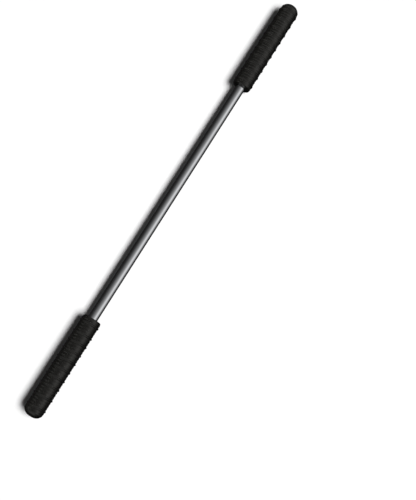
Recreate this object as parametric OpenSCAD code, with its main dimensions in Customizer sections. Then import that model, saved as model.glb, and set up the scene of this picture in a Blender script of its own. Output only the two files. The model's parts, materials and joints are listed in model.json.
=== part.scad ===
// Devil stick: a straight polished tube with a ribbed rubber grip closed over each end.
// The stick lies along X with the middle of the tube at the origin, and +Z is up.
// Each end is drawn with the grip's tip at zero, running up Z, and is then laid along X.

/* [Stick] */
// Length over the two grip tips
overall_len = 600; // [560:10:680]
// Outer diameter of the tube
tube_d = 12; // [11:0.5:13]
// Wall thickness of the tube
tube_wall = 1.5; // [1:0.25:2]
// Bevel on the tube's cut ends
tube_bevel = 0.3; // [0.1:0.1:0.5]

/* [Grip] */
// Diameter of the grip between its rings
grip_d = 23.2; // [22:0.2:26]
// Length of the domed closed end
dome_h = 8.6; // [8:0.2:9.6]
// Flat spot at the middle of the dome, as a diameter
dome_flat_d = 5; // [3:0.5:7]
// Radius of the rounded edge at the mouth
mouth_round = 2; // [1:0.25:3]

/* [Rings] */
// How far a ring stands out of the grip
ring_h = 1; // [0.6:0.1:1.4]
// Width of a ring at its foot
ring_w = 2.4; // [2:0.1:2.8]
// Distance from the tip to the first ring
first_ring = 12; // [11.5:0.5:15]
// Spacing of the two outermost pairs of rings, and of the pair at the mouth
wide_pitch = 14; // [13:0.5:15]
// Spacing of the rings under the fingers
finger_pitch = 11.4; // [10.5:0.1:12.5]
// Number of finger spacings
finger_spaces = 6; // [4:1:7]
// Distance from the last ring to the mouth
mouth_land = 7.4; // [6.4:0.2:9]

/* [Fine ribs] */
// How far a fine rib stands out of the grip
rib_h = 0.22; // [0.15:0.01:0.35]
// Width of a fine rib at its foot
rib_w = 0.9; // [0.8:0.1:1.2]
// Spacing that the fine ribs between two rings come nearest to
rib_pitch = 3.7; // [3:0.1:4.5]

/* [Inside the grips] */
// Thickness of the tape between the tube and a grip
tape_t = 0.25; // [0.15:0.05:0.4]
// Length of bare tube that the grip's mouth holds directly, beyond the tape
mouth_seal = 8; // [5:1:15]
// Thickness of the plug's flange over the tube's end
flange_t = 2; // [1.5:0.25:3]
// Length of the plug's stem inside the tube
stem_len = 16; // [12:1:24]
// Number of ribs on the plug's stem
stem_ribs = 4; // [3:1:5]
// Length of the balance weight
weight_len = 45; // [30:5:70]
// Gap between the plug and the balance weight
weight_gap = 2; // [1:0.5:5]

/* [Hidden] */
$fn = 96;

arc_steps = 10;                          // straight steps in a profile's quarter round
tube_r = tube_d / 2;
bore_r = tube_r - tube_wall;
grip_r = grip_d / 2;
tape_r = tube_r + tape_t;
socket_end = dome_h;                     // the grip's socket stops where the dome begins
tube_end = socket_end + flange_t;        // from the tip to the tube's cut end
weight_start = tube_end + stem_len + weight_gap;
weight_bevel = 0.6;
weight_r = bore_r - 0.02;                // a sliding fit, held by adhesive
stem_core_r = bore_r - 0.9;
stem_rib_w = 1.6;
flange_round = 0.6;

// Gap before each ring, counted from the tip, and where each ring then lies
ring_gaps = concat(
    [first_ring, wide_pitch, wide_pitch],
    [for (i = [1 : finger_spaces]) finger_pitch],
    [wide_pitch]
);
function sum_to(v, i) = i < 0 ? 0 : v[i] + sum_to(v, i - 1);
ring_at = [for (i = [0 : len(ring_gaps) - 1]) sum_to(ring_gaps, i)];
grip_len = ring_at[len(ring_at) - 1] + mouth_land;

// Fine ribs: evenly spaced between each two rings, and one on the land at the mouth
function ribs_in(gap) = round(gap / rib_pitch) - 1;
rib_at = concat(
    [for (i = [1 : len(ring_at) - 1])
        for (k = [1 : ribs_in(ring_gaps[i])])
            ring_at[i - 1] + k * ring_gaps[i] / (ribs_in(ring_gaps[i]) + 1)],
    [ring_at[len(ring_at) - 1] + mouth_land / 2]
);

// Radius of the circle that stands h out of a straight line over a foot of width w
function bead_r(h, w) = (h * h + w * w / 4) / (2 * h);

// Half outline of the grip's outside: flat spot, elliptical dome, straight wall, rounded mouth
function grip_outline() = concat(
    [[0, 0]],
    [for (i = [0 : arc_steps])
        let (a = 90 * i / arc_steps)
            [dome_flat_d / 2 + (grip_r - dome_flat_d / 2) * sin(a), dome_h * (1 - cos(a))]],
    [for (i = [0 : arc_steps])
        let (a = 90 * i / arc_steps)
            [grip_r - mouth_round * (1 - cos(a)), grip_len - mouth_round * (1 - sin(a))]],
    [[0, grip_len]]
);

// A round bead on the grip's wall, centred z from the tip
module bead(z, h, w)
    translate([grip_r + h - bead_r(h, w), z]) circle(r = bead_r(h, w));

// A round bar between two distances from the tip, with bevelled ends
module bevelled_bar(r, from, to, bevel)
    rotate_extrude()
        polygon([[0, from], [r - bevel, from], [r, from + bevel],
                 [r, to - bevel], [r - bevel, to], [0, to]]);

// The two ends of the stick: what is drawn up Z from a tip is laid along X
module at_left() translate([-overall_len / 2, 0, 0]) rotate([0, 90, 0]) children();
module at_right() mirror([1, 0, 0]) at_left() children();

// Polished tube, open right through, with its cut ends bevelled outside
module shaft_tube()
    color([0.72, 0.73, 0.75])
        at_left()
            difference() {
                bevelled_bar(tube_r, tube_end, overall_len - tube_end, tube_bevel);
                cylinder(h = overall_len, r = bore_r);
            }

// Moulded rubber grip: closed dome, ten rings, fine ribs and a stepped socket
module grip()
    color([0.09, 0.09, 0.09])
        difference() {
            rotate_extrude() {
                polygon(grip_outline());
                for (z = ring_at) bead(z, ring_h, ring_w);
                for (z = rib_at) bead(z, rib_h, rib_w);
            }
            translate([0, 0, socket_end]) cylinder(h = grip_len, r = tube_r);
            translate([0, 0, tube_end])
                cylinder(h = grip_len - mouth_seal - tube_end, r = tape_r);
        }

// Double-sided tape wound once round the tube, hidden in the grip
module grip_tape()
    color([0.85, 0.82, 0.72])
        translate([0, 0, tube_end])
            difference() {
                cylinder(h = grip_len - mouth_seal - tube_end, r = tape_r);
                translate([0, 0, -1]) cylinder(h = grip_len, r = tube_r);
            }

// Plastic plug: a flange that covers the tube's rim and a ribbed stem pressed into its bore
module end_plug()
    color([0.2, 0.2, 0.22]) {
        bevelled_bar(tube_r, socket_end, tube_end, flange_round);
        bevelled_bar(stem_core_r, socket_end + flange_round, tube_end + stem_len, weight_bevel);
        for (i = [0 : stem_ribs - 1])
            translate([0, 0, tube_end + 1 + i * (stem_len - 1 - stem_rib_w) / stem_ribs])
                cylinder(h = stem_rib_w, r = bore_r);
    }

// Steel slug glued in the tube behind the plug, which keeps the stick's mass at its ends
module balance_weight()
    color([0.45, 0.46, 0.48])
        bevelled_bar(weight_r, weight_start, weight_start + weight_len, weight_bevel);

shaft_tube();
at_left() grip();  // left_grip
at_right() grip();  // right_grip
at_left() grip_tape();  // left_grip_tape
at_right() grip_tape();  // right_grip_tape
at_left() end_plug();  // left_end_plug
at_right() end_plug();  // right_end_plug
at_left() balance_weight();  // left_balance_weight
at_right() balance_weight();  // right_balance_weight
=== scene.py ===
"""Devil stick: the looks of a polished tube with a ribbed rubber grip on each end.

Laid out as a Blender add-on and run as a script. Every length is in metres. The stick lies
along X with its middle at the origin, and +Z is up.
"""

import json
import math

import bpy
import numpy as np
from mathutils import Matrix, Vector

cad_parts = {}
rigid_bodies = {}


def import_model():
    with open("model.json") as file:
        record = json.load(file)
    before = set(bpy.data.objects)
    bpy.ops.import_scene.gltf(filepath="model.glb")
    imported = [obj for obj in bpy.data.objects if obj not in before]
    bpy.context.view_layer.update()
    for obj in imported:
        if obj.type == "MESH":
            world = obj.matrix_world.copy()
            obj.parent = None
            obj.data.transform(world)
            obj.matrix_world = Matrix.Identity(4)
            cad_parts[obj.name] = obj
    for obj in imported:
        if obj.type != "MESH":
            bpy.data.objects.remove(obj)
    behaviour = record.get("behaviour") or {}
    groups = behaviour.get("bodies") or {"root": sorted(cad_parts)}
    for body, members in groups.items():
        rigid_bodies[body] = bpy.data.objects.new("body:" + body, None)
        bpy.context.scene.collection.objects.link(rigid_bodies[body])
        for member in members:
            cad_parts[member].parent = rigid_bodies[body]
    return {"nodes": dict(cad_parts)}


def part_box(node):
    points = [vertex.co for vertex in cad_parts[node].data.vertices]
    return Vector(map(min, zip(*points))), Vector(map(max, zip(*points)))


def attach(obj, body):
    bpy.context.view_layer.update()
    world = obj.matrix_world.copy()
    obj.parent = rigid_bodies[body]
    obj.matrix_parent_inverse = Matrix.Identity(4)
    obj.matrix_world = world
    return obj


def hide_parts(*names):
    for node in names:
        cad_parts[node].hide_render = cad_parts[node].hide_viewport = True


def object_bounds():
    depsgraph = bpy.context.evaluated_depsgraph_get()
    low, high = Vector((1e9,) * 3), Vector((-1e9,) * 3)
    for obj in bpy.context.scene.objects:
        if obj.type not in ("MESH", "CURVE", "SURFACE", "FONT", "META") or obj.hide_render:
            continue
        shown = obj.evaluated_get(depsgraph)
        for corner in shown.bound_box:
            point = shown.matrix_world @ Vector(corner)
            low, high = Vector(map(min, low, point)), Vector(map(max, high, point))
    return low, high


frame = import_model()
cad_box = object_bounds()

bl_info = {
    "name": "Devil stick",
    "version": (1, 0, 0),
    "blender": (4, 5, 0),
    "location": "View3D > Sidebar > Devil stick",
    "description": "Builds the tube, the grips and what is inside them, with their finishes",
    "category": "Add Mesh",
}

MM = 0.001
BODY = "root"

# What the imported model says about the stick's size
STICK_LENGTH = cad_box[1].x - cad_box[0].x
RING_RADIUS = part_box("left_grip")[1].z
GRIP_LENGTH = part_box("left_grip")[1].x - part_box("left_grip")[0].x
TUBE_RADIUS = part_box("shaft_tube")[1].z
TUBE_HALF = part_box("shaft_tube")[1].x
PLUG_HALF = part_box("right_end_plug")[1].x
TAPE_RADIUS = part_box("left_grip_tape")[1].z
TAPE_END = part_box("left_grip_tape")[1].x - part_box("left_grip")[0].x

# Small details of the mouldings that a user would not change
FINGER_STEPS = 6                      # ring spacings under the fingers
SHOULDER_SHARE = 0.81                 # spacing of the ribs on the dome's shoulder, in rib pitches
SEAMS = (0.0, math.pi)                # where the mould's halves met, as angles round X
SEAM_HEIGHT = 0.04 * MM
SEAM_WIDTH = math.radians(0.7)
SEAM_SPACE = math.radians(2.2)        # no evenly spaced column stands closer to a seam
WAVE_HEIGHT = 0.018 * MM
SMOOTH_TIP = 3 * MM                   # seam and waves start this far from the tip
FADE_AT_TIP = 4 * MM                  # length over which they then grow to full height
FADE_AT_MOUTH = 3 * MM                # length over which they die out at the mouth
GATE_DEPTH = 0.16 * MM                # dimple at the tip, where the mould was filled
LIP = 0.35 * MM                       # where the mouth's flat face stops, outside the tube
LIP_DEPTH = 1.6 * LIP
LIP_HEIGHT = 0.9 * LIP
RIM = 0.1 * MM                        # bevel inside the tube's cut rim, and the spacing of rows there

# What the stick mirrors towards its ends. Places are parts of a direction of length one.
WALLS_BEGIN = 0.3                     # how far along the stick the softbox starts to give way to walls
WALLS_FULL = 0.6                      # and how far along it the walls are complete
WALLS_SHARE = 0.85                    # how much of the softbox's light the walls then hide
BAND_HEIGHT = 0.42                    # height of the walls' pale band
BAND_WIDTH = 0.28                     # its half-width

# How finely the surfaces are sampled
WALL_STEP = 1.2 * MM                  # spacing of rows on the grip's plain wall
CLOSEST = 0.03 * MM                   # a row closer than this to the one before is left out
CLEAR = 0.1 * MM                      # gap kept between the wall's rows and the curves at its ends
STEP_DEPTH = 0.05 * MM                # length of the slope at a step in the socket
DOME_ROWS = 33
MOUTH_ROWS = 11
RING_ROWS = 15
RIB_ROWS = 7
GRIP_COLUMNS = 150
TUBE_ROWS = 60
BORE_ROWS = 40
TUBE_COLUMNS = 192

NOISE_RANGE = (0.3, 0.7)              # between these lie most values of a noise pattern


# ---------------------------------------------------------------- settings

class GripSettings(bpy.types.PropertyGroup):
    """Sizes and colours of the moulded rubber grips."""

    ring_height: bpy.props.FloatProperty(
        name="Ring height", description="How far a ring stands out of the grip",
        default=1.0 * MM, min=0.5 * MM, max=1.5 * MM, subtype="DISTANCE")
    ring_width: bpy.props.FloatProperty(
        name="Ring width", description="Width of a ring from foot to foot",
        default=3.0 * MM, min=2 * MM, max=4 * MM, subtype="DISTANCE")
    rib_height: bpy.props.FloatProperty(
        name="Fine rib height", description="How far a fine rib stands out of the grip",
        default=0.3 * MM, min=0.1 * MM, max=0.4 * MM, subtype="DISTANCE")
    rib_width: bpy.props.FloatProperty(
        name="Fine rib width", description="Width of a fine rib from foot to foot",
        default=1.9 * MM, min=0.6 * MM, max=2 * MM, subtype="DISTANCE")
    rib_pitch: bpy.props.FloatProperty(
        name="Fine rib pitch", description="Spacing that the fine ribs come nearest to",
        default=3.7 * MM, min=3 * MM, max=5 * MM, subtype="DISTANCE")
    first_ring: bpy.props.FloatProperty(
        name="First ring", description="Distance from the tip to the first ring",
        default=12 * MM, min=11 * MM, max=15 * MM, subtype="DISTANCE")
    wide_pitch: bpy.props.FloatProperty(
        name="Wide ring pitch", description="Spacing of the outermost rings and of the pair at the mouth",
        default=14 * MM, min=12 * MM, max=16 * MM, subtype="DISTANCE")
    finger_pitch: bpy.props.FloatProperty(
        name="Finger ring pitch", description="Spacing of the rings under the fingers",
        default=11.4 * MM, min=10 * MM, max=13 * MM, subtype="DISTANCE")
    dome_length: bpy.props.FloatProperty(
        name="Dome length", description="Length of the domed closed end",
        default=8.6 * MM, min=8 * MM, max=10 * MM, subtype="DISTANCE")
    dome_flat: bpy.props.FloatProperty(
        name="Dome flat", description="Radius of the flat spot in the middle of the dome",
        default=2.5 * MM, min=1.5 * MM, max=3.5 * MM, subtype="DISTANCE")
    mouth_round: bpy.props.FloatProperty(
        name="Mouth round", description="Radius of the rounded edge at the mouth",
        default=2 * MM, min=1 * MM, max=3 * MM, subtype="DISTANCE")
    colour: bpy.props.FloatVectorProperty(
        name="Rubber colour", description="Colour of the clean rubber",
        default=(0.0016, 0.00155, 0.0014), size=3, min=0, max=1, subtype="COLOR")
    worn_colour: bpy.props.FloatVectorProperty(
        name="Worn rubber colour", description="Colour of the rubber where hands have rubbed it",
        default=(0.003, 0.0029, 0.0027), size=3, min=0, max=1, subtype="COLOR")


class TubeSettings(bpy.types.PropertyGroup):
    """Sizes and colours of the polished tube."""

    bore_radius: bpy.props.FloatProperty(
        name="Bore radius", description="Inner radius of the tube",
        default=4.5 * MM, min=4 * MM, max=5 * MM, subtype="DISTANCE")
    bevel: bpy.props.FloatProperty(
        name="Bevel", description="Bevel on the tube's cut ends",
        default=0.3 * MM, min=0.1 * MM, max=0.5 * MM, subtype="DISTANCE")
    colour: bpy.props.FloatVectorProperty(
        name="Metal colour", description="Colour of the polished metal",
        default=(0.80, 0.81, 0.83), size=3, min=0, max=1, subtype="COLOR")
    smudge_colour: bpy.props.FloatVectorProperty(
        name="Smudge colour", description="Colour of the metal under finger marks",
        default=(0.66, 0.67, 0.685), size=3, min=0, max=1, subtype="COLOR")


class InsideSettings(bpy.types.PropertyGroup):
    """Colours of the pieces inside the grips."""

    tape_colour: bpy.props.FloatVectorProperty(
        name="Tape colour", description="Colour of the grip tape",
        default=(0.62, 0.56, 0.42), size=3, min=0, max=1, subtype="COLOR")
    plug_colour: bpy.props.FloatVectorProperty(
        name="Plug colour", description="Colour of the moulded end plugs",
        default=(0.045, 0.045, 0.05), size=3, min=0, max=1, subtype="COLOR")
    steel_colour: bpy.props.FloatVectorProperty(
        name="Steel colour", description="Colour of the turned steel weights",
        default=(0.42, 0.42, 0.43), size=3, min=0, max=1, subtype="COLOR")


class StageSettings(bpy.types.PropertyGroup):
    """Floor, light and camera."""

    floor_size: bpy.props.FloatProperty(
        name="Floor size", description="Side of the square floor",
        default=24.0, min=2, max=60, subtype="DISTANCE")
    floor_colour: bpy.props.FloatVectorProperty(
        name="Floor colour", description="Colour of the plain pale floor",
        default=(0.86, 0.86, 0.86), size=3, min=0, max=1, subtype="COLOR")
    sun_height: bpy.props.FloatProperty(
        name="Light height", description="Angle of the key light above the floor",
        default=math.radians(55.2), min=0, max=math.pi / 2, subtype="ANGLE")
    sun_spread: bpy.props.FloatProperty(
        name="Light spread", description="How wide the key light looks from the stick",
        default=math.radians(20.5), min=0, max=math.pi, subtype="ANGLE")
    sun_strength: bpy.props.FloatProperty(
        name="Light strength", description="Strength of the key light's whole row",
        default=4.55, min=0, max=50)
    sun_lean: bpy.props.FloatProperty(
        name="Light lean", description="How far the key light reaches along the stick to either side",
        default=math.radians(9), min=0, max=math.pi / 4, subtype="ANGLE")
    fill_height: bpy.props.FloatProperty(
        name="Fill height", description="Angle of the fill light above the floor, on the left",
        default=math.radians(45), min=0, max=math.pi / 2, subtype="ANGLE")
    fill_spread: bpy.props.FloatProperty(
        name="Fill spread", description="How wide the fill light looks from the stick",
        default=math.radians(60), min=0, max=math.pi, subtype="ANGLE")
    fill_strength: bpy.props.FloatProperty(
        name="Fill strength", description="Strength of the wide light on the grips' left side",
        default=7.2, min=0, max=20)
    box_angle: bpy.props.FloatProperty(
        name="Softbox angle", description="Middle of the softbox, counted from straight up to the right",
        default=math.radians(60), min=0, max=math.pi, subtype="ANGLE")
    box_width: bpy.props.FloatProperty(
        name="Softbox width", description="Half-width of the softbox as the metal mirrors it",
        default=math.radians(29), min=0.1, max=math.pi, subtype="ANGLE")
    box_shine: bpy.props.FloatProperty(
        name="Softbox brightness", description="Brightness of the softbox as the metal mirrors it",
        default=0.56, min=0, max=2)
    spill_angle: bpy.props.FloatProperty(
        name="Spill angle", description="Middle of the light that spills round the softbox",
        default=math.radians(32), min=0, max=math.pi, subtype="ANGLE")
    spill_width: bpy.props.FloatProperty(
        name="Spill width", description="Half-width of the spilled light",
        default=math.radians(56), min=0.1, max=math.pi, subtype="ANGLE")
    spill_shine: bpy.props.FloatProperty(
        name="Spill brightness", description="Brightness of the spilled light",
        default=0.26, min=0, max=2)
    low_shine: bpy.props.FloatProperty(
        name="Dark side brightness", description="Brightness of the studio's dark side in the metal",
        default=0.015, min=0, max=1)
    end_shine: bpy.props.FloatProperty(
        name="End brightness", description="Brightness of the pale band beyond both ends of the stick",
        default=0.7, min=0, max=2)
    ambient: bpy.props.FloatProperty(
        name="Ambient light", description="Even light that reaches matte surfaces from all round",
        default=0.036, min=0, max=1)
    backdrop: bpy.props.FloatProperty(
        name="Backdrop", description="Brightness of the plain backdrop beyond the floor",
        default=1.0, min=0, max=2)
    view_turn: bpy.props.FloatProperty(
        name="Camera turn", description="Direction that the camera looks from, counted from -Y",
        default=math.radians(-59.03), min=-math.pi, max=math.pi, subtype="ANGLE")
    view_height: bpy.props.FloatProperty(
        name="Camera height", description="Angle of the camera above the floor",
        default=math.radians(75.95), min=0, max=math.pi / 2, subtype="ANGLE")
    view_aim: bpy.props.FloatVectorProperty(
        name="Camera aim", description="Point that the camera aims at",
        default=(-0.0503 * STICK_LENGTH, -0.1210 * STICK_LENGTH, 0), size=3, subtype="TRANSLATION")
    view_distance: bpy.props.FloatProperty(
        name="Camera distance", description="Distance from the camera to what it aims at",
        default=STICK_LENGTH * 5 / 3, min=0.2, max=10, subtype="DISTANCE")
    focal_length: bpy.props.FloatProperty(
        name="Focal length", description="Focal length of the lens, in millimetres",
        default=60.62, min=20, max=200)


# ---------------------------------------------------------------- meshes

def surface_from_grid(name, points, capped):
    """A closed mesh from a grid of points, shape (rows, columns, 3).

    Columns go once round the X axis and join up, and rows run along the profile. When capped, the
    first and the last row are each closed by a fan round their middle, and otherwise they join up.
    """
    columns = points.shape[1]
    vertices = points.reshape(-1, 3)
    index = np.arange(len(vertices)).reshape(-1, columns)
    following = index[1:] if capped else np.roll(index, -1, axis=0)
    present = index[:len(following)]
    corners = [present, following, np.roll(following, -1, axis=1), np.roll(present, -1, axis=1)]
    faces = np.stack(corners, axis=-1).reshape(-1, 4).tolist()
    if capped:
        for row in (index[0], index[-1][::-1]):
            middle = np.full(columns, len(vertices))
            vertices = np.vstack([vertices, vertices[row].mean(axis=0)])
            faces += np.stack([row, np.roll(row, -1), middle], axis=-1).tolist()
    mesh = bpy.data.meshes.new(name)
    mesh.from_pydata(vertices.tolist(), [], faces)
    mesh.validate()
    mesh.shade_smooth()
    mesh.update()
    piece = bpy.data.objects.new(name, mesh)
    bpy.context.scene.collection.objects.link(piece)
    return piece


def turned(stations, radii, angles):
    """Points of a profile turned round X: (station, radius cos angle, radius sin angle).

    stations and radii have one value a row, or one for each row and column.
    """
    stations = stations[:, None] if stations.ndim == 1 else stations
    radii = radii[:, None] if radii.ndim == 1 else radii
    along, out, angles = np.broadcast_arrays(stations, radii, angles)
    return np.stack([along, out * np.cos(angles), out * np.sin(angles)], axis=-1)


def spaced(start, end, step):
    """Even values from start to end, no further apart than step."""
    return np.linspace(start, end, max(2, math.ceil((end - start) / step) + 1))


def bead(distance, width, height):
    """A round bead at a distance from its middle: height (1 - (2 distance / width)^2)^1.5."""
    inside = np.clip(1 - (2 * distance / width) ** 2, 0, None)
    return height * inside ** 1.5


def nearest_turn(angles, marks):
    """The shorter way round, as an angle, from each angle to the nearest of the marks."""
    turns = [np.abs((angles - mark + math.pi) % (2 * math.pi) - math.pi) for mark in marks]
    return np.min(turns, axis=0)


def ring_stations(s):
    """Distance of each ring from the tip: the first, two wide steps, finger steps, one wide step."""
    wide, finger = s.wide_pitch, s.finger_pitch
    return np.cumsum([s.first_ring, wide, wide, *[finger] * FINGER_STEPS, wide])


def rib_stations(s, rings):
    """Fine ribs: two on the dome's shoulder, evenly spaced ones between rings, one at the mouth."""
    shoulder = rings[0] - np.array([2, 1]) * SHOULDER_SHARE * s.rib_pitch
    between = []
    for low, high in zip(rings[:-1], rings[1:]):
        spaces = round((high - low) / s.rib_pitch)
        between += list(np.linspace(low, high, spaces + 1)[1:-1])
    return np.array([*shoulder, *between, (rings[-1] + GRIP_LENGTH) / 2])


def wall_stations(s, rings, ribs, end):
    """Stations along the straight wall: even steps, and more of them across each ring and rib."""
    across_ring = np.linspace(-0.5, 0.5, RING_ROWS) * s.ring_width
    across_rib = np.linspace(-0.5, 0.5, RIB_ROWS) * s.rib_width
    stations = np.concatenate([
        spaced(s.dome_length, end, WALL_STEP),
        (rings[:, None] + across_ring).ravel(),
        (ribs[:, None] + across_rib).ravel(),
    ])
    stations = np.unique(np.round(stations, 5))
    stations = stations[np.diff(stations, prepend=0) > CLOSEST]
    return stations[(stations > s.dome_length + CLEAR) & (stations < end - CLEAR)]


def grip_outline(s, rings, ribs):
    """The grip's smooth outline from the tip to the mouth, and its outward direction at each point.

    A flat spot, a quarter ellipse, a straight wall, and a quarter round at the mouth. Outward is
    the outline's own direction turned a quarter.
    """
    wall = RING_RADIUS - s.ring_height
    end = GRIP_LENGTH - s.mouth_round
    flat = [[0, share * s.dome_flat] for share in (0.4, 0.8)]
    quarter = np.linspace(0, math.pi / 2, DOME_ROWS)
    dome = np.stack([s.dome_length * (1 - np.cos(quarter)),
                     s.dome_flat + (wall - s.dome_flat) * np.sin(quarter)], axis=-1)
    stations = wall_stations(s, rings, ribs, end)
    straight = np.stack([stations, np.full(len(stations), wall)], axis=-1)
    quarter = np.linspace(0, math.pi / 2, MOUTH_ROWS)
    mouth = np.stack([end + s.mouth_round * np.sin(quarter),
                      wall - s.mouth_round * (1 - np.cos(quarter))], axis=-1)
    line = np.vstack([flat, dome, straight, mouth])
    step = np.gradient(line, axis=0)
    step /= np.linalg.norm(step, axis=1, keepdims=True)
    return line, np.stack([-step[:, 1], step[:, 0]], axis=-1)


def grip_socket(s):
    """The inside of the grip, from the mouth face to the blind end, as rows of (station, radius).

    The face runs in to a rounded lip, a quarter ellipse. Then come the stretch that holds the bare
    tube, the wider stretch for the tape, and the blind end that holds the plug's flange.
    """
    tube_end = STICK_LENGTH / 2 - TUBE_HALF
    blind = STICK_LENGTH / 2 - PLUG_HALF
    face_edge = RING_RADIUS - s.ring_height - s.mouth_round
    face = [[GRIP_LENGTH, radius] for radius in np.linspace(face_edge, TUBE_RADIUS + LIP, 5)[1:]]
    quarter = np.linspace(0, math.pi / 2, 6)[1:]
    lip = np.stack([GRIP_LENGTH - LIP_DEPTH * np.sin(quarter),
                    TUBE_RADIUS + LIP_HEIGHT * (1 - np.sin(quarter))], axis=-1)
    steps = [
        [TAPE_END, TUBE_RADIUS], [TAPE_END - STEP_DEPTH, TAPE_RADIUS],
        [tube_end, TAPE_RADIUS], [tube_end - STEP_DEPTH, TUBE_RADIUS],
        [blind, TUBE_RADIUS], [blind, 0.5 * TUBE_RADIUS],
    ]
    return np.vstack([face, lip, steps])


def grip_columns():
    """Angles once round the grip: even ones, and a few close ones across each seam."""
    even = np.linspace(0, 2 * math.pi, GRIP_COLUMNS, endpoint=False)
    even = even[nearest_turn(even, SEAMS) > SEAM_SPACE]
    close = np.radians([-1.8, -1.1, -0.6, -0.25, 0, 0.25, 0.6, 1.1, 1.8])
    return np.sort(np.concatenate([even, *[(seam + close) % (2 * math.pi) for seam in SEAMS]]))


def seam_push(angles):
    """How far the mould's parting line stands out: a bell, height exp(-(turn / width)^2)."""
    return SEAM_HEIGHT * np.exp(-(nearest_turn(angles, SEAMS) / SEAM_WIDTH) ** 2)


def wave_push(stations, angles, phase):
    """The slight waviness of soft rubber: the mean of slow sine waves along and round the grip."""
    # Each wave: its cycles a metre, times it goes round, and starting angle
    waves = ((31, 1, 0.4), (57, 2, 1.9), (88, 1, 3.1), (143, 3, 5.2), (214, 2, 0.9))
    along = 2 * math.pi * stations[:, None]
    total = sum(np.sin(rate * along + turns * angles + start + phase) for rate, turns, start in waves)
    return WAVE_HEIGHT * total / len(waves)


def make_grip(name, side, s):
    """One moulded grip, closed all over.

    Outside: point = outline + outward (ring beads + rib beads + seam + waves), turned round X, with
    a shallow dimple at the tip where the mould was filled. Inside: the socket, turned round X.
    Seam and waves fade out over the last few millimetres at both ends.
    """
    rings = ring_stations(s)
    ribs = rib_stations(s, rings)
    line, outward = grip_outline(s, rings, ribs)
    angles = grip_columns()
    stations = line[:, 0]
    beads = (bead(stations[:, None] - rings, s.ring_width, s.ring_height).sum(axis=1)
             + bead(stations[:, None] - ribs, s.rib_width, s.rib_height).sum(axis=1))
    fade = (np.clip((stations - SMOOTH_TIP) / FADE_AT_TIP, 0, 1)
            * np.clip((GRIP_LENGTH - stations) / FADE_AT_MOUTH, 0, 1))
    uneven = fade[:, None] * (seam_push(angles) + wave_push(stations, angles, side))
    push = beads[:, None] + uneven
    along = np.maximum(stations[:, None] + push * outward[:, :1], 0)
    out = np.minimum(line[:, 1:] + push * outward[:, 1:], RING_RADIUS)
    along[0] += GATE_DEPTH
    socket = grip_socket(s)
    points = np.vstack([turned(along, out, angles), turned(socket[:, 0], socket[:, 1], angles)])
    points[..., 0] = side * (STICK_LENGTH / 2 - points[..., 0])
    return surface_from_grid(name, points if side > 0 else points[:, ::-1], capped=True)


def make_tube(name, s):
    """The tube as a closed loop of (station, radius) turned round X: outside, bevel, rim, bore."""
    half, radius, bore = TUBE_HALF, TUBE_RADIUS, s.bore_radius
    end = np.array([
        [half - s.bevel - 2 * RIM, radius], [half - s.bevel, radius], [half, radius - s.bevel],
        [half, bore + RIM], [half - RIM, bore], [half - 5 * RIM, bore],
    ])
    reach = half - 10 * RIM
    outside = np.stack([np.linspace(-reach, reach, TUBE_ROWS), np.full(TUBE_ROWS, radius)], axis=-1)
    inside = np.stack([np.linspace(reach, -reach, BORE_ROWS), np.full(BORE_ROWS, bore)], axis=-1)
    loop = np.vstack([outside, end, inside, end[::-1] * [-1, 1]])
    angles = np.linspace(0, 2 * math.pi, TUBE_COLUMNS, endpoint=False)
    points = turned(loop[:, 0], loop[:, 1], angles)
    return surface_from_grid(name, points[:, ::-1], capped=False)


# ---------------------------------------------------------------- finishes

class Nodes:
    """A node tree, with short ways to add a node and link it."""

    def __init__(self, tree):
        self.tree = tree

    def add(self, kind, settings=(), inputs=(), **links):
        """A new node with its settings and input values, and links into its inputs."""
        node = self.tree.nodes.new(kind)
        for key, value in dict(settings).items():
            setattr(node, key, value)
        for key, value in dict(inputs).items():
            node.inputs[key].default_value = value
        for key, source in links.items():
            self.tree.links.new(source, node.inputs[key])
        return node

    def maths(self, operation, *values):
        """The result of one operation on numbers or sockets."""
        node = self.add("ShaderNodeMath", {"operation": operation})
        for socket, value in zip(node.inputs, values):
            if isinstance(value, (int, float)):
                socket.default_value = value
            else:
                self.tree.links.new(value, socket)
        return node.outputs[0]

    def ranged(self, value, low, high, to_low, to_high):
        """value moved from the range low to high, to the range to_low to to_high, and held there."""
        node = self.add("ShaderNodeMapRange", {"clamp": True},
                        {"From Min": low, "From Max": high, "To Min": to_low, "To Max": to_high},
                        Value=value)
        return node.outputs["Result"]

    def blend(self, factor, first, second):
        """The colour first where factor is 0 and second where it is 1.

        The node's inputs 6 and 7 and its output 2 are the ones that hold colours.
        """
        node = self.add("ShaderNodeMix", {"data_type": "RGBA"})
        self.tree.links.new(factor, node.inputs["Factor"])
        for socket, colour in ((node.inputs[6], first), (node.inputs[7], second)):
            if isinstance(colour, tuple):
                socket.default_value = (*colour, 1)
            else:
                self.tree.links.new(colour, socket)
        return node.outputs[2]

    def bell(self, value, centre, width, height):
        """A bell curve: height exp(-((value - centre) / width)^2)."""
        away = self.maths("DIVIDE", self.maths("SUBTRACT", value, centre), width)
        squared = self.maths("MULTIPLY", away, away)
        falling = self.maths("EXPONENT", self.maths("MULTIPLY", squared, -1.0))
        return self.maths("MULTIPLY", falling, height)


def shaded(colour, factor):
    """A colour with each part multiplied by factor."""
    return tuple(factor * part for part in colour)


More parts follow.
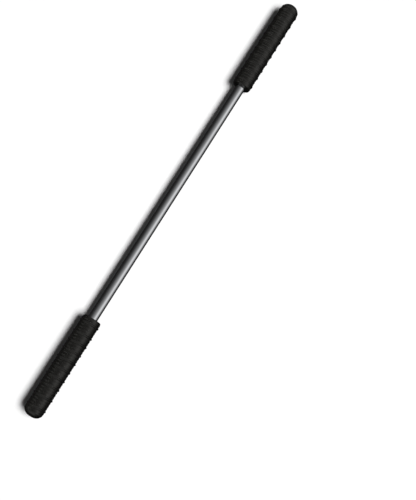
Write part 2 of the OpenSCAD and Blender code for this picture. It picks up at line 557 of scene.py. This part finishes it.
class Finish(Nodes):
    """A material's nodes. Patterns read Object coordinates."""

    def __init__(self, name):
        self.material = bpy.data.materials.new(name)
        self.material.use_nodes = True
        super().__init__(self.material.node_tree)
        self.shader = self.tree.nodes["Principled BSDF"]
        self.place = self.add("ShaderNodeTexCoord").outputs["Object"]

    def noise(self, scale=1.0, detail=3.0, rough=0.55, stretch=(1, 1, 1)):
        """A noise pattern. Scale times stretch is about how many of its grains fit in a metre."""
        placed = self.add("ShaderNodeMapping", {}, {"Scale": stretch}, Vector=self.place)
        node = self.add("ShaderNodeTexNoise", {}, {"Scale": scale, "Detail": detail, "Roughness": rough},
                        Vector=placed.outputs["Vector"])
        return node.outputs["Fac"]

    def from_axis(self):
        """Distance of a point from the stick's axis: the length of its Y and Z."""
        parts = self.add("ShaderNodeVectorMath", {"operation": "MULTIPLY"})
        parts.inputs[1].default_value = (0, 1, 1)
        self.tree.links.new(self.place, parts.inputs[0])
        length = self.add("ShaderNodeVectorMath", {"operation": "LENGTH"})
        self.tree.links.new(parts.outputs[0], length.inputs[0])
        return length.outputs["Value"]

    def varied(self, pattern, low, high):
        """A value that goes from low to high with a noise pattern."""
        return self.ranged(pattern, *NOISE_RANGE, low, high)

    def stained(self, pattern, low, high, colour, factor):
        """colour where the pattern is under low, and shaded by factor where it is over high."""
        return self.blend(self.ranged(pattern, low, high, 0.0, 1.0), tuple(colour), shaded(colour, factor))

    def bump(self, height, distance, strength=1.0, before=None):
        """The surface direction after a bump, added to the direction before it."""
        node = self.add("ShaderNodeBump", {}, {"Distance": distance, "Strength": strength}, Height=height)
        if before is not None:
            self.tree.links.new(before, node.inputs["Normal"])
        return node.outputs["Normal"]

    def wire(self, **sockets):
        """Links patterns into the shader."""
        for key, source in sockets.items():
            self.tree.links.new(source, self.shader.inputs[key.replace("_", " ")])

    def values(self, **sockets):
        """Sets values on the shader."""
        for key, value in sockets.items():
            self.shader.inputs[key.replace("_", " ")].default_value = value


def rubber_finish(s):
    """Black moulded rubber: spark-eroded grain, faint bloom, ring tops rubbed by the hands."""
    f = Finish("moulded_rubber")
    cloud = f.noise(scale=55, detail=4)
    mottle = f.noise(scale=420, detail=2, rough=0.6)
    speck = f.noise(scale=2600, detail=1)
    grain = f.noise(scale=1500, detail=3, rough=0.6)
    ring_top = f.ranged(f.from_axis(), RING_RADIUS - 0.75 * s.ring_height, RING_RADIUS, 0.0, 1.0)
    rubbed = f.maths("MULTIPLY", ring_top, f.ranged(cloud, 0.35, 0.65, 0.5, 1.0))
    bloom = f.ranged(cloud, 0.4, 0.7, 0.0, 0.35)
    dust = f.ranged(speck, 0.66, 0.74, 0.0, 0.6)
    patches = f.ranged(mottle, 0.42, 0.62, 0.0, 0.6)
    bloomed = f.blend(bloom, tuple(s.colour), shaded(s.colour, 1.7))
    dusty = f.blend(dust, bloomed, shaded(s.colour, 2.6))
    patchy = f.blend(patches, dusty, shaded(s.colour, 2.4))
    colour = f.blend(rubbed, patchy, tuple(s.worn_colour))
    rough = f.maths("ADD", f.varied(cloud, 0.21, 0.27), f.varied(grain, -0.03, 0.05))
    rough = f.maths("ADD", rough, f.varied(mottle, -0.05, 0.07))
    rough = f.maths("SUBTRACT", rough, f.maths("MULTIPLY", rubbed, 0.06))
    normal = f.bump(grain, 0.05 * MM, 0.6)
    normal = f.bump(mottle, 0.12 * MM, 0.6, normal)
    normal = f.bump(cloud, 0.6 * MM, 0.25, normal)
    f.wire(Base_Color=colour, Roughness=rough, Normal=normal)
    f.values(IOR=1.54, Specular_IOR_Level=0.5, Specular_Tint=(1.0, 0.98, 0.94, 1.0))
    return f.material


def metal_finish(s):
    """Polished drawn metal: lines along the tube, fine turning marks round it, faint smudges."""
    f = Finish("polished_metal")
    drawn = f.noise(detail=4, rough=0.6, stretch=(9, 2300, 2300))
    turning = f.noise(detail=2, rough=0.5, stretch=(2600, 40, 40))
    smudge = f.noise(scale=30, detail=5, rough=0.6, stretch=(0.6, 1, 1))
    colour = f.blend(f.ranged(smudge, 0.5, 0.72, 0.0, 0.45), tuple(s.colour), tuple(s.smudge_colour))
    rough = f.maths("ADD", f.ranged(smudge, 0.35, 0.75, 0.11, 0.16), f.varied(drawn, 0.0, 0.03))
    normal = f.bump(drawn, 0.012 * MM, 0.35)
    normal = f.bump(turning, 0.006 * MM, 0.3, normal)
    f.wire(Base_Color=colour, Roughness=rough, Normal=normal)
    f.values(Metallic=1.0)
    return f.material


def tape_finish(s):
    """Double-sided grip tape: a creped paper weave, slightly yellowed."""
    f = Finish("grip_tape")
    crepe = f.noise(detail=2, rough=0.5, stretch=(2400, 300, 300))
    stain = f.noise(scale=70)
    f.wire(Base_Color=f.stained(stain, 0.35, 0.7, s.tape_colour, 0.8),
           Roughness=f.varied(crepe, 0.7, 0.9),
           Normal=f.bump(crepe, 0.06 * MM, 0.7))
    return f.material


def plug_finish(s):
    """Moulded polyethylene: matte with slow flow marks."""
    f = Finish("plug_plastic")
    flow = f.noise(scale=240)
    f.wire(Base_Color=f.stained(flow, 0.35, 0.7, s.plug_colour, 1.6),
           Roughness=f.varied(flow, 0.45, 0.6),
           Normal=f.bump(flow, 0.03 * MM, 0.4))
    return f.material


def steel_finish(s):
    """Turned steel bar: tool marks round it and a little oil stain."""
    f = Finish("turned_steel")
    tool = f.noise(detail=2, rough=0.5, stretch=(4200, 60, 60))
    oil = f.noise(scale=90, detail=4)
    f.wire(Base_Color=f.stained(oil, 0.45, 0.7, s.steel_colour, 0.6),
           Roughness=f.varied(tool, 0.3, 0.45),
           Normal=f.bump(tool, 0.02 * MM, 0.6))
    f.values(Metallic=1.0)
    return f.material


def floor_finish(s):
    """Plain pale floor: matte paint with the faintest mottle."""
    f = Finish("pale_floor")
    mottle = f.noise(scale=3)
    f.wire(Base_Color=f.stained(mottle, *NOISE_RANGE, s.floor_colour, 0.99))
    f.values(Roughness=0.9, Specular_IOR_Level=0.1)
    return f.material


def dress(piece, material):
    """Gives every face of a piece one material."""
    piece.data.materials.clear()
    piece.data.materials.append(material)
    piece.data.polygons.foreach_set("material_index", np.zeros(len(piece.data.polygons), np.int32))


# ---------------------------------------------------------------- stage

def add_floor(s):
    """A square floor that the rings rest on."""
    half = s.floor_size / 2
    level = cad_box[0].z
    corners = [(-half, -half, level), (half, -half, level), (half, half, level), (-half, half, level)]
    mesh = bpy.data.meshes.new("floor")
    mesh.from_pydata(corners, [], [(0, 1, 2, 3)])
    floor = bpy.data.objects.new("floor", mesh)
    bpy.context.scene.collection.objects.link(floor)
    dress(floor, floor_finish(s))
    floor.visible_glossy = False


def add_sun(name, strength, spread, towards):
    """A sun light that shines from the direction towards and is not mirrored by the stick."""
    light = bpy.data.lights.new(name, "SUN")
    light.energy = strength
    light.angle = spread
    sun = bpy.data.objects.new(name, light)
    sun.rotation_euler = towards.to_track_quat("Z", "Y").to_euler()
    sun.location = towards
    sun.visible_glossy = False
    bpy.context.scene.collection.objects.link(sun)
    return sun


def add_key_light(s):
    """A long softbox beside the stick, on its right: a row of wide lights that lean along the stick."""
    leans = (-s.sun_lean, 0, s.sun_lean)
    for number, lean in enumerate(leans):
        across = math.cos(lean)
        towards = Vector((math.sin(lean), -across * math.cos(s.sun_height), across * math.sin(s.sun_height)))
        add_sun(f"key_{number}", s.sun_strength / len(leans), s.sun_spread, towards)


def add_fill_light(s):
    """A wide light from the upper left, linked to the grips alone, which lifts their dark side."""
    towards = Vector((0, math.cos(s.fill_height), math.sin(s.fill_height)))
    fill = add_sun("fill", s.fill_strength, s.fill_spread, towards)
    grips = bpy.data.collections.new("lit_by_fill")
    for piece in bpy.data.objects:
        if piece.name.startswith("moulded_"):
            grips.objects.link(piece)
    fill.light_linking.receiver_collection = grips


def add_surroundings(s):
    """The studio round the stick: dim on its left, bright on its right, and a white backdrop.

    What the stick mirrors depends on the angle round X, counted from straight up towards the
    right-hand side: a low level, a narrow bell for the softbox and a wide bell for its spill.
    Beyond both ends of the stick that fades into walls with a pale band half way up.
    """
    world = bpy.data.worlds.new("studio")
    bpy.context.scene.world = world
    world.use_nodes = True
    n = Nodes(world.node_tree)
    everywhere = n.add("ShaderNodeTexCoord").outputs["Generated"]
    x, y, z = n.add("ShaderNodeSeparateXYZ", Vector=everywhere).outputs
    angle = n.maths("ARCTAN2", n.maths("MULTIPLY", y, -1.0), z)
    box = n.bell(angle, s.box_angle, s.box_width, s.box_shine)
    spill = n.bell(angle, s.spill_angle, s.spill_width, s.spill_shine)
    shine = n.maths("ADD", n.maths("ADD", box, spill), s.low_shine)
    # How far along the stick points the direction that the tube mirrors towards the camera
    mirrored_x = -math.sin(s.view_turn) * math.cos(s.view_height)
    endwards = n.maths("ABSOLUTE", n.maths("SUBTRACT", x, mirrored_x))
    walls = n.maths("ADD", n.bell(z, BAND_HEIGHT, BAND_WIDTH, s.end_shine), s.low_shine)
    shine = n.blend(n.ranged(endwards, WALLS_BEGIN, WALLS_FULL, 0.0, WALLS_SHARE), shine, walls)
    path = n.add("ShaderNodeLightPath")
    behind = n.blend(path.outputs["Is Camera Ray"], (s.ambient,) * 3, (s.backdrop,) * 3)
    seen = n.blend(path.outputs["Is Glossy Ray"], behind, shine)
    n.tree.links.new(seen, n.tree.nodes["Background"].inputs["Color"])


def add_camera(s):
    """The camera looks down at the stick and a little along it, so the left grip is nearer."""
    data = bpy.data.cameras.new("camera")
    data.lens = s.focal_length
    camera = bpy.data.objects.new("camera", data)
    back = Vector((math.sin(s.view_turn) * math.cos(s.view_height),
                   -math.cos(s.view_turn) * math.cos(s.view_height),
                   math.sin(s.view_height)))
    camera.location = Vector(s.view_aim) + back * s.view_distance
    camera.rotation_mode = "QUATERNION"
    camera.rotation_quaternion = (-back).to_track_quat("-Z", "Y")
    bpy.context.scene.collection.objects.link(camera)
    bpy.context.scene.camera = camera


# ---------------------------------------------------------------- operators

class STICK_OT_tube(bpy.types.Operator):
    """Builds the polished tube"""

    bl_idname = "stick.tube"
    bl_label = "Tube"

    def execute(self, context):
        s = context.scene.stick_tube
        piece = make_tube("polished_tube", s)
        dress(piece, metal_finish(s))
        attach(piece, BODY)
        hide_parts("shaft_tube")
        return {"FINISHED"}


class STICK_OT_grips(bpy.types.Operator):
    """Builds the two moulded rubber grips"""

    bl_idname = "stick.grips"
    bl_label = "Grips"

    def execute(self, context):
        s = context.scene.stick_grip
        rubber = rubber_finish(s)
        for node, side in (("left_grip", -1), ("right_grip", 1)):
            piece = make_grip("moulded_" + node, side, s)
            dress(piece, rubber)
            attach(piece, BODY)
            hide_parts(node)
        return {"FINISHED"}


class STICK_OT_inside(bpy.types.Operator):
    """Finishes the tape, the end plugs and the balance weights"""

    bl_idname = "stick.inside"
    bl_label = "Inside pieces"

    def execute(self, context):
        s = context.scene.stick_inside
        finishes = {
            "grip_tape": tape_finish(s),
            "end_plug": plug_finish(s),
            "balance_weight": steel_finish(s),
        }
        for kind, material in finishes.items():
            for side in ("left_", "right_"):
                dress(frame["nodes"][side + kind], material)
        return {"FINISHED"}


class STICK_OT_stage(bpy.types.Operator):
    """Adds the floor, the light and the camera"""

    bl_idname = "stick.stage"
    bl_label = "Stage"

    def execute(self, context):
        s = context.scene.stick_stage
        add_floor(s)
        add_key_light(s)
        add_fill_light(s)
        add_surroundings(s)
        add_camera(s)
        # Keeps the pale floor white and the rubber black
        context.scene.view_settings.view_transform = "Standard"
        return {"FINISHED"}


class STICK_PT_panel(bpy.types.Panel):
    """Lists the builders and their settings"""

    bl_idname = "STICK_PT_panel"
    bl_label = "Devil stick"
    bl_space_type = "VIEW_3D"
    bl_region_type = "UI"
    bl_category = "Devil stick"

    def draw(self, context):
        for operator in OPERATORS:
            self.layout.operator(operator.bl_idname)
        for holder in SETTINGS:
            box = self.layout.box()
            group = getattr(context.scene, holder)
            for key in group.bl_rna.properties.keys():
                if key not in ("rna_type", "name"):
                    box.prop(group, key)


# ---------------------------------------------------------------- registering and running

SETTINGS = {
    "stick_grip": GripSettings,
    "stick_tube": TubeSettings,
    "stick_inside": InsideSettings,
    "stick_stage": StageSettings,
}
OPERATORS = (STICK_OT_tube, STICK_OT_grips, STICK_OT_inside, STICK_OT_stage)
CLASSES = (*SETTINGS.values(), *OPERATORS, STICK_PT_panel)


def register():
    for cls in CLASSES:
        bpy.utils.register_class(cls)
    for holder, group in SETTINGS.items():
        setattr(bpy.types.Scene, holder, bpy.props.PointerProperty(type=group))


def unregister():
    for holder in SETTINGS:
        delattr(bpy.types.Scene, holder)
    for cls in reversed(CLASSES):
        bpy.utils.unregister_class(cls)


def main():
    """Registers the add-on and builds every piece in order."""
    register()
    bpy.ops.stick.tube()
    bpy.ops.stick.grips()
    bpy.ops.stick.inside()
    bpy.ops.stick.stage()


if __name__ == "__main__":
    main()
